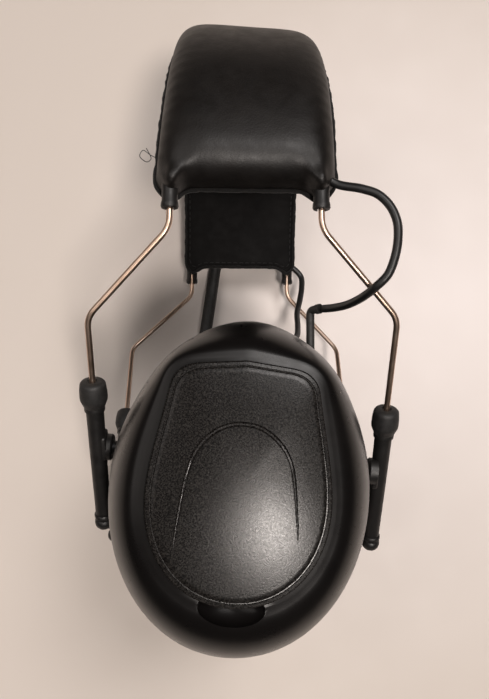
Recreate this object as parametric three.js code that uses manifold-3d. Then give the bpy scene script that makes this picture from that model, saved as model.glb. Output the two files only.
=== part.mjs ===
// Wire-headband hearing protection earmuffs with battery-powered cups, lying on the right cup.
//
// Frame: millimetres, +Z up along the ear-to-ear axis, +Y towards the crown of the headband,
// +X towards the back of the wearer's head. Each half of the headset is built in a half frame:
// z is the distance out from the mid-plane between the ears and y is measured from the lower wire
// bend. The right half is the same frame mirrored downwards.
import * as THREE from "three";
import { mergeVertices } from "three/addons/utils/BufferGeometryUtils.js";
import Module from "manifold-3d";

const wasm = await Module();
wasm.setup();

// ---------------------------------------------------------------- driving dimensions
const GAP = 0.3; // clearance between touching pieces
const ORIGIN_TO_LOWER_BEND = 0.8; // y of the lower wire bends in the part's frame

// headband
const ARCH_CENTRE_Y = 39.7;
const PAD_OUTER_RADIUS = 71.2;
const PAD_THICKNESS = 13;
const PAD_WIDTH = 51;
const PAD_CORNER = 5;
const PAD_END_Y = 38;
const COVER_WALL = 1.4;
const WIRE_ARCH_RADIUS = 64.5;
const WIRE_RADIUS = 0.95;
const WIRE_SPREAD_TOP = 22; // half distance between the front and rear wires in the pad
const WIRE_SPREAD_LOW = 46; // the same at the sliders
const UPPER_BEND = { y: 25.3, z: 65.3 };
const LOWER_BEND = { y: 0, z: 57.5 };
const WIRE_BEND_RADIUS = 3.2;
const WIRE_LEAN = THREE.MathUtils.degToRad(31.2); // inward lean of the wire inside the sliders
const WIRE_TAIL = 55; // wire below the lower bend
const FERRULE = { radius: 2.5, top: 39.5, bottom: 31.4, z: 64.8 };

// sliders: distances run down the wire from the lower bend
const SLIDER_START = { left: { front: 21.4, rear: 31.3 }, right: { front: 32.8, rear: 32.8 } };
const COLLAR = { radius: 4.3, length: 9, bevel: 1.6 };
const TUBE = { radius: 2.8, bore: 1.25, from: 2.5, to: 51 };
const CAP = { radius: 3.1, to: 56.7 };
const COLLAR_TO_PIVOT = 24;
const PIN_RADIUS = 2.2;

// cups: local frame at the middle of the pivot line, w outwards (away from the ear)
const CUP = { top: 44.6, widest: -8, bottom: -58.9, halfWidth: 40.6 };
const LID = { top: 29.1, bottom: -35.4, halfWidth: 24.7, under: 46.3, face: 49.9 };
const SHELL = { rim: -8.3, seat: 46, wall: 2.3, roundness: 2.2 };
const CUSHION = { face: -24.4, back: -10.9, holeHalfWidth: 20, holeHalfHeight: 30 };
const EAR_CENTRE_Y = -7.6;
const PLATE = { back: -10.6, front: -8.6 };
const CELL = { radius: 5.2, length: 44.5, x: 5.5, w: 38.6, y: -2.8 };
const TRAY = { halfWidth: 12.4, halfHeight: 24, floor: 31.6, top: 45.7, wall: 1.3 };
const LID_HINGE = { y: 28, w: 47.4, pinRadius: 0.5, length: 12 };

const CABLE_RADIUS = 1.3;
const ANTENNA_RADIUS = 3.1;

// ---------------------------------------------------------------- colours
const FINISH = {
  leather: { color: 0x151414, roughness: 0.5, metalness: 0 },
  foam: { color: 0x2b2b2d, roughness: 0.95, metalness: 0 },
  wire: { color: 0xb08a70, roughness: 0.25, metalness: 1 },
  rubber: { color: 0x1b1b1c, roughness: 0.8, metalness: 0 },
  gloss: { color: 0x0d0d0d, roughness: 0.3, metalness: 0 },
  grain: { color: 0x1e1e1f, roughness: 0.6, metalness: 0 },
  matte: { color: 0x202021, roughness: 0.7, metalness: 0 },
  steel: { color: 0x9a9a9c, roughness: 0.35, metalness: 1 },
  board: { color: 0x1f5a38, roughness: 0.5, metalness: 0 },
  cell: { color: 0x7c7f84, roughness: 0.4, metalness: 0.3 },
};

// ---------------------------------------------------------------- solids
// A closed geometry as a manifold solid, turned to face outwards.
function solid(geometry) {
  const bare = geometry.index ? geometry.toNonIndexed() : geometry.clone();
  for (const name of Object.keys(bare.attributes)) {
    if (name !== "position") bare.deleteAttribute(name);
  }
  const merged = mergeVertices(bare, 1e-4);
  const triVerts = new Uint32Array(merged.index.array);
  const vertProperties = new Float32Array(merged.attributes.position.array);
  const made = new wasm.Manifold(new wasm.Mesh({ numProp: 3, vertProperties, triVerts }));
  if (made.volume() >= 0) return made;
  triVerts.reverse();
  return new wasm.Manifold(new wasm.Mesh({ numProp: 3, vertProperties, triVerts }));
}

// A manifold solid as a three.js geometry.
function geometryOf(body) {
  const { numProp, numVert, vertProperties, triVerts } = body.getMesh();
  const positions = new Float32Array(numVert * 3);
  for (let i = 0; i < numVert; i++) {
    positions.set(vertProperties.subarray(i * numProp, i * numProp + 3), i * 3);
  }
  return new THREE.BufferGeometry()
    .setAttribute("position", new THREE.BufferAttribute(positions, 3))
    .setIndex(new THREE.BufferAttribute(triVerts, 1));
}

function meshOf(name, body, finish) {
  const geometry = geometryOf(body).toNonIndexed();
  geometry.computeVertexNormals();
  const mesh = new THREE.Mesh(geometry, new THREE.MeshStandardMaterial(FINISH[finish]));
  mesh.name = name;
  return mesh;
}

// A solid through rings of equally many points: capped at both ends, or closed on itself.
function ringSolid(rings, closed = false) {
  const count = rings[0].length;
  const positions = rings.flat().flatMap((p) => [p.x, p.y, p.z]);
  const index = [];
  const spans = closed ? rings.length : rings.length - 1;
  for (let i = 0; i < spans; i++) {
    const next = (i + 1) % rings.length;
    for (let j = 0; j < count; j++) {
      const k = (j + 1) % count;
      const [a, b, c, d] = [i * count + j, i * count + k, next * count + k, next * count + j];
      index.push(a, b, c, a, c, d);
    }
  }
  if (!closed) {
    for (const [at, turn] of [[0, true], [rings.length - 1, false]]) {
      const middle = new THREE.Vector3();
      rings[at].forEach((p) => middle.addScaledVector(p, 1 / count));
      const hub = positions.length / 3;
      positions.push(middle.x, middle.y, middle.z);
      for (let j = 0; j < count; j++) {
        const [a, b] = [at * count + j, at * count + ((j + 1) % count)];
        index.push(...(turn ? [hub, b, a] : [hub, a, b]));
      }
    }
  }
  const geometry = new THREE.BufferGeometry();
  geometry.setAttribute("position", new THREE.BufferAttribute(new Float32Array(positions), 3));
  geometry.setIndex(index);
  return solid(geometry);
}

const vec = (x, y, z) => new THREE.Vector3(x, y, z);

// A round tube or rod of few sides along a curve.
function sweptRod(curve, radius, steps, sides = 8) {
  const section = new THREE.Shape();
  for (let i = 0; i < sides; i++) {
    const turn = (i / sides) * 2 * Math.PI;
    const point = [radius * Math.cos(turn), radius * Math.sin(turn)];
    i ? section.lineTo(...point) : section.moveTo(...point);
  }
  return solid(new THREE.ExtrudeGeometry(section, { steps, bevelEnabled: false, extrudePath: curve }));
}

// A turned solid: profile points are [radius, height] about the Y axis.
function turned(profile, sides = 20) {
  return solid(new THREE.LatheGeometry(profile.map(([r, y]) => new THREE.Vector2(r, y)), sides));
}

// A cylinder between two points.
function rod(from, to, radius, sides = 20) {
  const along = to.clone().sub(from);
  const geometry = new THREE.CylinderGeometry(radius, radius, along.length(), sides);
  const turn = new THREE.Quaternion().setFromUnitVectors(vec(0, 1, 0), along.clone().normalize());
  geometry.applyQuaternion(turn);
  geometry.translate(...from.clone().add(to).multiplyScalar(0.5).toArray());
  return solid(geometry);
}

function box(width, height, depth, at) {
  return solid(new THREE.BoxGeometry(width, height, depth).translate(at.x, at.y, at.z));
}

// ---------------------------------------------------------------- outlines in a cup's x-y plane
const OUTLINE_POINTS = 32;

// The cup seen from the side: an egg with its narrow end up.
function eggPath({ top, widest, bottom, halfWidth }) {
  const up = top - widest;
  const down = widest - bottom;
  const path = new THREE.Path();
  path.moveTo(0, top);
  path.bezierCurveTo(-0.5 * halfWidth, top, -halfWidth, widest + 0.5 * up, -halfWidth, widest);
  path.bezierCurveTo(-halfWidth, widest - 0.57 * down, -0.56 * halfWidth, bottom, 0, bottom);
  path.bezierCurveTo(0.56 * halfWidth, bottom, halfWidth, widest - 0.57 * down, halfWidth, widest);
  path.bezierCurveTo(halfWidth, widest + 0.5 * up, 0.5 * halfWidth, top, 0, top);
  return path;
}

// The lid: a nearly straight top with round corners, sides that widen, and a round bottom.
function lidPath() {
  const { top, bottom, halfWidth } = LID;
  const path = new THREE.Path();
  path.moveTo(0, top);
  for (const s of [-1, 1]) {
    if (s === -1) {
      path.lineTo(-12.5, top - 1.3);
      path.quadraticCurveTo(-19.4, top - 2.1, -20.2, top - 8.6);
      path.bezierCurveTo(-22.3, 9, -halfWidth, 0, -halfWidth, -8);
      path.bezierCurveTo(-halfWidth, -24, -14.6, bottom, 0, bottom);
    } else {
      path.bezierCurveTo(14.6, bottom, halfWidth, -24, halfWidth, -8);
      path.bezierCurveTo(halfWidth, 0, 22.3, 9, 20.2, top - 8.6);
      path.quadraticCurveTo(19.4, top - 2.1, 12.5, top - 1.3);
      path.lineTo(0, top);
    }
  }
  return path;
}

// Equally spaced points of a path, grown about its middle by a margin.
function outline(path, margin = 0) {
  const points = path.getSpacedPoints(OUTLINE_POINTS).slice(0, OUTLINE_POINTS);
  const ys = points.map((p) => p.y);
  const xs = points.map((p) => p.x);
  const middle = (Math.max(...ys) + Math.min(...ys)) / 2;
  const growX = 1 + margin / Math.max(...xs);
  const growY = 1 + margin / (Math.max(...ys) - middle);
  return points.map((p) => new THREE.Vector2(p.x * growX, middle + (p.y - middle) * growY));
}

const blendOutlines = (a, b, t, w) => a.map((p, i) => vec(p.x + (b[i].x - p.x) * t, p.y + (b[i].y - p.y) * t, w));

const EGG = eggPath(CUP);
const LID_OUTLINE = lidPath();
const EAR_HOLE = new THREE.Path().absellipse(
  0, EAR_CENTRE_Y, CUSHION.holeHalfWidth, CUSHION.holeHalfHeight, Math.PI / 2, Math.PI * 2.5, false,
);

// ---------------------------------------------------------------- headband
function archPoint(x, radius, angle) {
  return vec(x, ARCH_CENTRE_Y + radius * Math.sin(angle), GAP / 2 + radius * Math.cos(angle));
}

// One half of the pad's arch, from near the crown plane down to endY, with its walls moved in.
function archSweep(inset, endY, pastCrown) {
  const outer = PAD_OUTER_RADIUS - inset;
  const inner = PAD_OUTER_RADIUS - PAD_THICKNESS + inset;
  const half = PAD_WIDTH / 2 - inset;
  const corner = Math.max(PAD_CORNER - inset, 1);
  const section = [];
  for (const [cx, cr, start] of [
    [half - corner, outer - corner, 0],
    [-half + corner, outer - corner, 1],
    [-half + corner, inner + corner, 2],
    [half - corner, inner + corner, 3],
  ]) {
    for (let i = 0; i <= 3; i++) {
      const turn = ((start + i / 3) * Math.PI) / 2;
      section.push([cx + corner * Math.cos(turn), cr + corner * Math.sin(turn)]);
    }
  }
  const middle = (outer + inner) / 2;
  const endAngle = Math.asin((endY - ARCH_CENTRE_Y) / middle);
  const steps = 14;
  const rings = [];
  if (pastCrown) rings.push(section.map(([x, r]) => vec(x, ARCH_CENTRE_Y + r, -2)));
  for (let i = 0; i <= steps; i++) {
    const angle = Math.PI / 2 + ((endAngle - Math.PI / 2) * i) / steps;
    rings.push(section.map(([x, r]) => archPoint(x, r, angle)));
  }
  return ringSolid(rings);
}

// Straight runs joined by rounded corners.
function bentLine(path, points, radius) {
  let from = points[0];
  for (let i = 1; i < points.length - 1; i++) {
    const before = points[i].clone().add(points[i - 1].clone().sub(points[i]).setLength(radius));
    const after = points[i].clone().add(points[i + 1].clone().sub(points[i]).setLength(radius));
    path.add(new THREE.LineCurve3(from, before));
    path.add(new THREE.QuadraticBezierCurve3(before, points[i], after));
    from = after;
  }
  path.add(new THREE.LineCurve3(from, points.at(-1)));
  return path;
}

function archCurve(x, radius, fromAngle, toAngle) {
  const points = [];
  for (let i = 0; i <= 8; i++) points.push(archPoint(x, radius, fromAngle + ((toAngle - fromAngle) * i) / 8));
  return points;
}

// One wire's half: over the arch inside the pad, down through the ferrule, two bends, into the slider.
function wireCurve(end) {
  const path = new THREE.CurvePath();
  const arch = archCurve(end * WIRE_SPREAD_TOP, WIRE_ARCH_RADIUS, Math.PI / 2, 0);
  path.add(new THREE.CatmullRomCurve3(arch));
  const low = vec(end * WIRE_SPREAD_LOW, LOWER_BEND.y, LOWER_BEND.z);
  const tail = vec(0, -Math.cos(WIRE_LEAN), -Math.sin(WIRE_LEAN)).multiplyScalar(WIRE_TAIL);
  const upper = vec(end * WIRE_SPREAD_TOP, UPPER_BEND.y, UPPER_BEND.z);
  return bentLine(path, [arch.at(-1), upper, low, low.clone().add(tail)], WIRE_BEND_RADIUS);
}

// The lead between the cups: from the crown along the pad, out at its rear corner and to the cup.
const CABLE_IN_PAD = [vec(17.5, 47, 65.6), vec(22, 42, 67.5), vec(27, 39, 67)];
const LEFT_LOOP = [
  vec(33.7, 37.1, 67.3), vec(38.3, 34.9, 67.7), vec(41.8, 31.2, 68), vec(43.6, 26.6, 68),
  vec(43.8, 21.9, 67.5), vec(43, 16.6, 66.5), vec(41.1, 11.6, 65.6), vec(38.1, 8.5, 64),
  vec(35.3, 6.3, 59.2), vec(32, 5.1, 51), vec(28.9, 5.1, 44), vec(26.5, 5.35, 39.9),
];
const RIGHT_LOOP = [
  vec(29.5, 34.5, 65), vec(29.3, 29, 62.5), vec(28.4, 22.5, 59), vec(27.8, 16, 54), vec(27.4, 10, 48),
  vec(26.6, 5.2, 42), vec(25.2, 2.8, 38.6),
];

function cableCurve(loop) {
  const arch = archCurve(14, WIRE_ARCH_RADIUS, Math.PI / 2, 0.22);
  return new THREE.CatmullRomCurve3([...arch, ...CABLE_IN_PAD, ...loop], false, "centripetal");
}

function headbandHalf(side, loop) {
  const group = new THREE.Group();
  const wires = { front: wireCurve(-1), rear: wireCurve(1) };
  const cable = cableCurve(loop);
  const wireRoom = Object.values(wires).map((curve) => sweptRod(curve, WIRE_RADIUS + GAP + 0.1, 36, 6));
  const cableRoom = sweptRod(cable, CABLE_RADIUS + GAP + 0.25, 40, 6);

  const ferruleRoom = [-1, 1].map((end) => {
    const x = end * WIRE_SPREAD_TOP;
    const [high, low] = [FERRULE.top + GAP, FERRULE.bottom - 1];
    return rod(vec(x, high, FERRULE.z), vec(x, low, FERRULE.z), FERRULE.radius + GAP, 16);
  });
  let cover = archSweep(0, PAD_END_Y, false).subtract(archSweep(COVER_WALL, PAD_END_Y + COVER_WALL, true));
  let foam = archSweep(COVER_WALL + GAP, PAD_END_Y + COVER_WALL + GAP, false);
  for (const room of [...wireRoom, ...ferruleRoom, cableRoom]) {
    cover = cover.subtract(room);
    foam = foam.subtract(room);
  }
  const spacerAt = vec(0, 52, 63.4);
  let spacer = box(PAD_WIDTH - 6, 4.5, 4, spacerAt);
  for (const room of [...wireRoom, cableRoom]) spacer = spacer.subtract(room);
  foam = foam.subtract(box(PAD_WIDTH - 6 + 2 * GAP, 4.5 + 2 * GAP, 4 + 2 * GAP, spacerAt));

  group.add(meshOf(`${side}_headband_cover`, cover, "leather"));
  group.add(meshOf(`${side}_headband_foam`, foam, "foam"));
  group.add(meshOf(`${side}_wire_spacer`, spacer, "matte"));
  group.add(meshOf(`${side}_cable`, sweptRod(cable, CABLE_RADIUS, 44), "rubber"));
  for (const [place, end] of [["front", -1], ["rear", 1]]) {
    group.add(meshOf(`${side}_${place}_wire`, sweptRod(wires[place], WIRE_RADIUS, 44, 6), "wire"));
    group.add(meshOf(`${side}_${place}_ferrule`, ferrule(end, wireRoom[end < 0 ? 0 : 1]), "matte"));
  }
  return group;
}

// A short channel at the pad's end that grips a wire, open towards the head.
function ferrule(end, room) {
  const x = end * WIRE_SPREAD_TOP;
  const { radius, top, bottom, z } = FERRULE;
  const barrel = rod(vec(x, top, z), vec(x, bottom, z), radius, 16);
  const slotDepth = radius + 1;
  const slot = box(2.1, 2 * (top - bottom), slotDepth, vec(x, (top + bottom) / 2, z - slotDepth / 2));
  return barrel.subtract(room).subtract(slot);
}

// ---------------------------------------------------------------- sliders
// The four pieces of one slider, in a frame at the lower bend whose -Y runs down the wire.
function slider(side, place, cupFrame) {
  const end = place === "front" ? -1 : 1;
  const start = SLIDER_START[side][place];
  const frame = new THREE.Group();
  frame.position.set(end * WIRE_SPREAD_LOW, LOWER_BEND.y, LOWER_BEND.z);
  frame.rotation.x = WIRE_LEAN;
  frame.updateMatrix();
  const down = (distance) => -start - distance;
  const { radius: tubeRadius, bore } = TUBE;

  let tube = turned([
    [bore, down(TUBE.to)], [tubeRadius, down(TUBE.to)], [tubeRadius, down(TUBE.from)],
    [bore, down(TUBE.from)], [bore, down(TUBE.to)],
  ], 12);
  // The pivot pin and its web stand on the tube's inner side and point at the cup.
  const toFrame = frame.matrix.clone().invert().multiply(cupFrame.matrix);
  const onPivotLine = (x) => vec(end * x, 0, 0).applyMatrix4(toFrame);
  const web = box(2, 9, 9, vec(end * -1.9, -start - COLLAR_TO_PIVOT, onPivotLine(44).z / 2));
  const boss = rod(onPivotLine(44.2), onPivotLine(41.6), 4.3, 16);
  const pin = rod(onPivotLine(44.2), onPivotLine(34.9), PIN_RADIUS, 16);
  const boreRoom = rod(vec(0, down(TUBE.to + 1), 0), vec(0, down(TUBE.from - 1), 0), bore, 16);
  tube = tube.add(web).add(boss).add(pin).subtract(boreRoom);

  const collarBore = tubeRadius + GAP;
  const collar = turned([
    [bore, down(0)], [COLLAR.radius - 1, down(0)], [COLLAR.radius, down(COLLAR.bevel)],
    [COLLAR.radius, down(COLLAR.length - 0.6)], [COLLAR.radius - 0.5, down(COLLAR.length)],
    [collarBore, down(COLLAR.length)], [collarBore, down(TUBE.from - GAP)], [bore, down(TUBE.from - GAP)],
    [bore, down(0)],
  ], 14);
  const cap = turned([
    [0, down(TUBE.to + GAP)], [CAP.radius - 0.3, down(TUBE.to + GAP)], [CAP.radius, down(TUBE.to + 1)],
    [CAP.radius, down(TUBE.to + 2)], [CAP.radius - 0.5, down(TUBE.to + 2.6)], [CAP.radius, down(TUBE.to + 3.2)],
    [CAP.radius, down(CAP.to - 0.8)], [CAP.radius - 0.9, down(CAP.to)], [0, down(CAP.to)],
  ], 12);
  const clip = rod(onPivotLine(35.1), onPivotLine(36.3), 4, 16)
    .subtract(rod(onPivotLine(34.5), onPivotLine(39), PIN_RADIUS + GAP, 16));

  frame.add(meshOf(`${side}_${place}_slider_tube`, tube, "matte"));
  frame.add(meshOf(`${side}_${place}_slider_collar`, collar, "rubber"));
  frame.add(meshOf(`${side}_${place}_slider_cap`, cap, "matte"));
  frame.add(meshOf(`${side}_${place}_pivot_clip`, clip, "steel"));
  return frame;
}

// ---------------------------------------------------------------- cups
// The cup's frame: its origin is the middle of the line through both pivot pins.
function cupFrameOf(side) {
  const { front, rear } = SLIDER_START[side];
  const along = (front + rear) / 2 + COLLAR_TO_PIVOT;
  const drop = (rear - front) * Math.cos(WIRE_LEAN);
  const frame = new THREE.Group();
  frame.position.set(
    0,
    LOWER_BEND.y - along * Math.cos(WIRE_LEAN),
    LOWER_BEND.z - along * Math.sin(WIRE_LEAN),
  );
  frame.rotation.z = -Math.atan(drop / (2 * WIRE_SPREAD_LOW));
  frame.updateMatrix();
  return frame;
}

// The domed body between the cup's egg outline and the lid seat, with its surface moved in.
function dome(inset, from, to, past = 0) {
  const wide = outline(EGG, -inset);
  const narrow = outline(LID_OUTLINE, 1.6 - inset);
  const power = 2 / SHELL.roundness;
  const steps = 8;
  const rings = past ? [blendOutlines(wide, narrow, 0, from - past)] : [];
  for (let i = 0; i <= steps; i++) {
    const turn = (i / steps) * (Math.PI / 2);
    const rise = Math.sin(turn) ** power;
    const t = 1 - Math.cos(turn) ** power;
    rings.push(blendOutlines(wide, narrow, t, from + (to - from) * rise));
  }
  return ringSolid(rings);
}

function shellSolid(elbow) {
  const outer = dome(0, SHELL.rim, SHELL.seat);
  const inner = dome(SHELL.wall, SHELL.rim, SHELL.seat - SHELL.wall, 3);
  return outer
    .subtract(inner)
    .subtract(rod(vec(-50, 0, 0), vec(50, 0, 0), PIN_RADIUS + GAP + 0.1, 16))
    .subtract(rod(elbow[1], elbow[2], CABLE_RADIUS + GAP + 0.2, 12));
}

// An egg-shaped cushion ring whose section is round towards the ear.
function cushionSolid() {
  const outer = outline(EGG, -1);
  const hole = outline(EAR_HOLE);
  const { face, back } = CUSHION;
  const profile = [
    [0.08, back], [0, back - 2], [0, face + 4], [0.07, face + 1.2], [0.25, face], [0.72, face],
    [0.92, face + 1], [1, face + 3.5], [1, back],
  ];
  return ringSolid(profile.map(([t, w]) => blendOutlines(outer, hole, t, w)), true);
}

function plateSolid() {
  const outer = outline(EGG, -0.4);
  const hole = outline(EAR_HOLE, 1);
  const { back, front } = PLATE;
  const profile = [[0, front], [0, back], [1, back], [1, front]];
  return ringSolid(profile.map(([t, w]) => blendOutlines(outer, hole, t, w)), true);
}

// The outer plate of a cup: rounded at its face, and undercut so that it can turn about its top edge.
function lidSlab() {
  const { under, face } = LID;
  const edges = [[-0.7, under], [0, under + 0.7], [0, face - 1], [-0.3, face - 0.3], [-1, face]];
  return ringSolid(edges.map(([margin, w]) => outline(LID_OUTLINE, margin).map((p) => vec(p.x, p.y, w))));
}

function elbowRod(points) {
  const path = bentLine(new THREE.CurvePath(), points, 1.6);
  return sweptRod(path, CABLE_RADIUS + 0.05, 12);
}

function commonCupPieces(side, frame, shell, elbow) {
  frame.add(meshOf(`${side}_cup_shell`, shell, "gloss"));
  frame.add(meshOf(`${side}_ear_cushion`, cushionSolid(), "leather"));
  frame.add(meshOf(`${side}_cushion_plate`, plateSolid(), "matte"));
  frame.add(meshOf(`${side}_cord_elbow`, elbowRod(elbow), "rubber"));
  const liner = solid(new THREE.CylinderGeometry(1, 1, 3, 32).rotateX(Math.PI / 2).scale(29, 40, 1));
  frame.add(meshOf(`${side}_foam_liner`, liner.translate([0, EAR_CENTRE_Y, -4.6]), "foam"));
  const speaker = turned([[0, 0], [17, 0], [17, 1.5], [13, 5], [8, 5], [8, 8.5], [0, 8.5]], 24);
  const upright = solid(geometryOf(speaker).rotateX(Math.PI / 2).translate(0, EAR_CENTRE_Y, -2.6));
  frame.add(meshOf(`${side}_speaker`, upright, "matte"));
}

const LEFT_ELBOW = [vec(20.75, 50.6, 8.1), vec(18, 50.2, 4.6), vec(19.6, 33, 4)];
const RIGHT_ELBOW = [vec(24.5, 50.5, 9.2), vec(20.5, 49.8, 5.4), vec(20.5, 33, 4.6)];

// The left cup carries the batteries, under a lid that is lifted by its finger notch.
function leftCup(frame) {
  const notchAt = vec(0, LID.bottom - 0.6, SHELL.seat + 0.6);
  const notch = (grow) => solid(new THREE.SphereGeometry(1, 20, 12)
    .scale(9.6 + grow, 5.4 + grow, 5 + grow).translate(notchAt.x, notchAt.y, notchAt.z));
  const pocket = notch(2).intersect(dome(0, SHELL.rim, SHELL.seat));
  const trayRoom = box(
    2 * (TRAY.halfWidth + GAP), 2 * (TRAY.halfHeight + GAP), 30,
    vec(0, CELL.y, TRAY.floor - GAP + 15),
  );
  const shell = shellSolid(LEFT_ELBOW).add(pocket).subtract(notch(0)).subtract(trayRoom);
  commonCupPieces("left", frame, shell, LEFT_ELBOW);

  const { halfWidth, halfHeight, floor, top, wall } = TRAY;
  const tray = box(2 * halfWidth, 2 * halfHeight, top - floor, vec(0, CELL.y, (top + floor) / 2))
    .subtract(box(2 * (halfWidth - wall), 2 * (halfHeight - wall), top - floor,
      vec(0, CELL.y, (top + floor) / 2 + wall)));
  frame.add(meshOf("battery_tray", tray, "matte"));
  for (const [name, x] of [["front_battery_cell", -CELL.x], ["rear_battery_cell", CELL.x]]) {
    const half = CELL.length / 2;
    const cell = rod(vec(x, CELL.y - half, CELL.w), vec(x, CELL.y + half - 1.2, CELL.w), CELL.radius, 20)
      .add(rod(vec(x, CELL.y, CELL.w), vec(x, CELL.y + half, CELL.w), 2.7, 12));
    frame.add(meshOf(name, cell, "cell"));
  }

  const hinge = vec(0, LID_HINGE.y, LID_HINGE.w);
  const half = LID_HINGE.length / 2;
  const channel = rod(vec(-half - GAP, hinge.y, hinge.z), vec(half + GAP, hinge.y, hinge.z), 0.8, 12)
    .add(box(2 * (half + GAP), 1.6, 2, hinge.clone().add(vec(0, 0, -1))));
  const lid = lidSlab().subtract(channel);
  frame.add(meshOf("battery_lid", lid, "grain"));
  const pin = rod(vec(-half, hinge.y, hinge.z), vec(half, hinge.y, hinge.z), LID_HINGE.pinRadius, 12);
  frame.add(meshOf("lid_hinge_pin", pin, "steel"));
}

// The right cup carries the electronics, two knobs and the antenna; its cover is fixed.
const ANTENNA_FOOT = vec(-17.2, 33.5, 42.8);
const ANTENNA_DIRECTION = vec(0.14, 1, 0.2).normalize();
const KNOB_SEATS = [["volume_knob", -1], ["tuning_knob", 1]];
const KNOB = { x: 15, y: -56.2, w: 14, radius: 5.5, height: 6 };

function knobFrame(sign) {
  const frame = new THREE.Group();
  frame.position.set(sign * KNOB.x, KNOB.y, KNOB.w);
  frame.quaternion.setFromUnitVectors(vec(0, 1, 0), vec(sign * 0.33, -0.94, 0).normalize());
  frame.updateMatrix();
  return frame;
}

function rightCup(frame) {
  let shell = shellSolid(RIGHT_ELBOW);
  for (const [name, sign] of KNOB_SEATS) {
    const seat = knobFrame(sign);
    const shaftRoom = new THREE.CylinderGeometry(1.9, 1.9, 14, 16).applyMatrix4(seat.matrix);
    shell = shell.subtract(solid(shaftRoom));
    const knob = turned([
      [0, -5], [1.5, -5], [1.5, 1], [KNOB.radius - 0.4, 1], [KNOB.radius, 1.5],
      [KNOB.radius - 0.3, KNOB.height], [KNOB.radius - 1, KNOB.height + 0.6], [0, KNOB.height + 0.6],
    ], 16);
    seat.add(meshOf(name, knob, "rubber"));
    frame.add(seat);
  }
  commonCupPieces("right", frame, shell, RIGHT_ELBOW);
  frame.add(meshOf("right_outer_cover", lidSlab(), "grain"));
  frame.add(meshOf("circuit_board", box(46, 60, 1.6, vec(0, -10, 20)), "board"));

  const along = (distance) => ANTENNA_FOOT.clone().addScaledVector(ANTENNA_DIRECTION, distance);
  const base = rod(along(0), along(8), 4, 16).subtract(dome(-GAP, SHELL.rim, SHELL.seat + GAP));
  frame.add(meshOf("antenna_base", base, "matte"));
  const toCup = (x, y, z) => vec(x, y, z).applyMatrix4(frame.matrix.clone().invert());
  const whip = new THREE.CatmullRomCurve3([
    along(8.4), toCup(-15, -0.5, 74.5), toCup(-13.3, 11, 74.85), toCup(-11.2, 25.5, 74.85),
    toCup(-9.2, 40, 74.85), toCup(-7.2, 54, 74.85),
  ]);
  frame.add(meshOf("antenna", sweptRod(whip, ANTENNA_RADIUS, 12, 12), "rubber"));
}

// ---------------------------------------------------------------- the whole object
function half(side, loop, fillCup) {
  const group = headbandHalf(side, loop);
  const cupFrame = cupFrameOf(side);
  for (const place of ["front", "rear"]) group.add(slider(side, place, cupFrame));
  fillCup(cupFrame);
  group.add(cupFrame);
  group.position.set(0, ORIGIN_TO_LOWER_BEND, MID_HEIGHT);
  group.scale.z = side === "left" ? 1 : -1;
  return group;
}

// The right cup's outer face is the floor, which sets the height of the mid-plane.
const MID_HEIGHT = cupFrameOf("right").position.z + LID.face;

const earmuffs = new THREE.Group();
earmuffs.add(half("left", LEFT_LOOP, leftCup));
earmuffs.add(half("right", RIGHT_LOOP, rightCup));

export default earmuffs;
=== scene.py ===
"""Looks for wire-headband hearing protection earmuffs that lie on their right cup.

Shapes are worked out in millimetres in the CAD's half frames and cup frames, and become metres in
the row frame when a piece is made. Front is -X, the crown of the headband is +Y, and the left half
is above the right one.
"""

import math

import bmesh
import bpy
from mathutils import Matrix, Vector, noise


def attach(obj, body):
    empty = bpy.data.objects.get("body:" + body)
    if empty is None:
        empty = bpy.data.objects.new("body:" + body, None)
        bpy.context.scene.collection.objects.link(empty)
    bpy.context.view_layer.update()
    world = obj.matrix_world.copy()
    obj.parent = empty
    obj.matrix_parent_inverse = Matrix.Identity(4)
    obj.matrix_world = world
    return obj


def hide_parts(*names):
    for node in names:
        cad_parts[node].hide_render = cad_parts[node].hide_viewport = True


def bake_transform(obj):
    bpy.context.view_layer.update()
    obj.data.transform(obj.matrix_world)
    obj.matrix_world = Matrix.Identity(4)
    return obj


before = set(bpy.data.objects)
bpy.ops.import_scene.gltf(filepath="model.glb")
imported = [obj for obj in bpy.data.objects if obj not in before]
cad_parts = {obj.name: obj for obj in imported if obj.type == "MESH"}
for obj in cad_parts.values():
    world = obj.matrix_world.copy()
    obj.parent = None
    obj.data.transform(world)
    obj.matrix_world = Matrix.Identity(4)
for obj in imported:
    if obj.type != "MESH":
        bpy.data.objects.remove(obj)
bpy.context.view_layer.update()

MM = 0.001
CLEARANCE = 0.3  # room round a part that passes through another
SIDES = ("right", "left")
ENDS = {"front": -1, "rear": 1}

# -------- the CAD's driving dimensions
ORIGIN_Y = 0.8
ARCH_CENTRE_Y = 39.7
PAD_MIDDLE_RADIUS = 64.7
PAD_WIDTH = {"crown": 48.6, "end": 53.4}
PAD_END_Y = 38
WIRE_ARCH_RADIUS = 64.5
WIRE_RADIUS = 0.95
WIRE_SPREAD_TOP = 22
WIRE_SPREAD_LOW = 46
UPPER_BEND = (25.3, 65.3)
LOWER_BEND_Z = 57.5
WIRE_BEND_RADIUS = 3.2
WIRE_LEAN = math.radians(31.2)
WIRE_DOWN = Vector((0, -math.cos(WIRE_LEAN), -math.sin(WIRE_LEAN)))
WIRE_TAIL = 55
FERRULE = {"radius": 2.5, "top": 39.5, "bottom": 30.8, "z": 64.8}
SLIDER_START = {"left": (21.4, 31.3), "right": (32.8, 32.8)}
COLLAR_RADIUS = 4.3
TUBE_RADIUS = 2.8
TUBE_END = 51
CAP_END = 56.7
COLLAR_TO_PIVOT = 24
PIVOT = {"boss": 44.6, "pin": 34.9, "boss_radius": 4.3, "pin_radius": 2.2}  # ends: from the cup's middle
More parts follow.
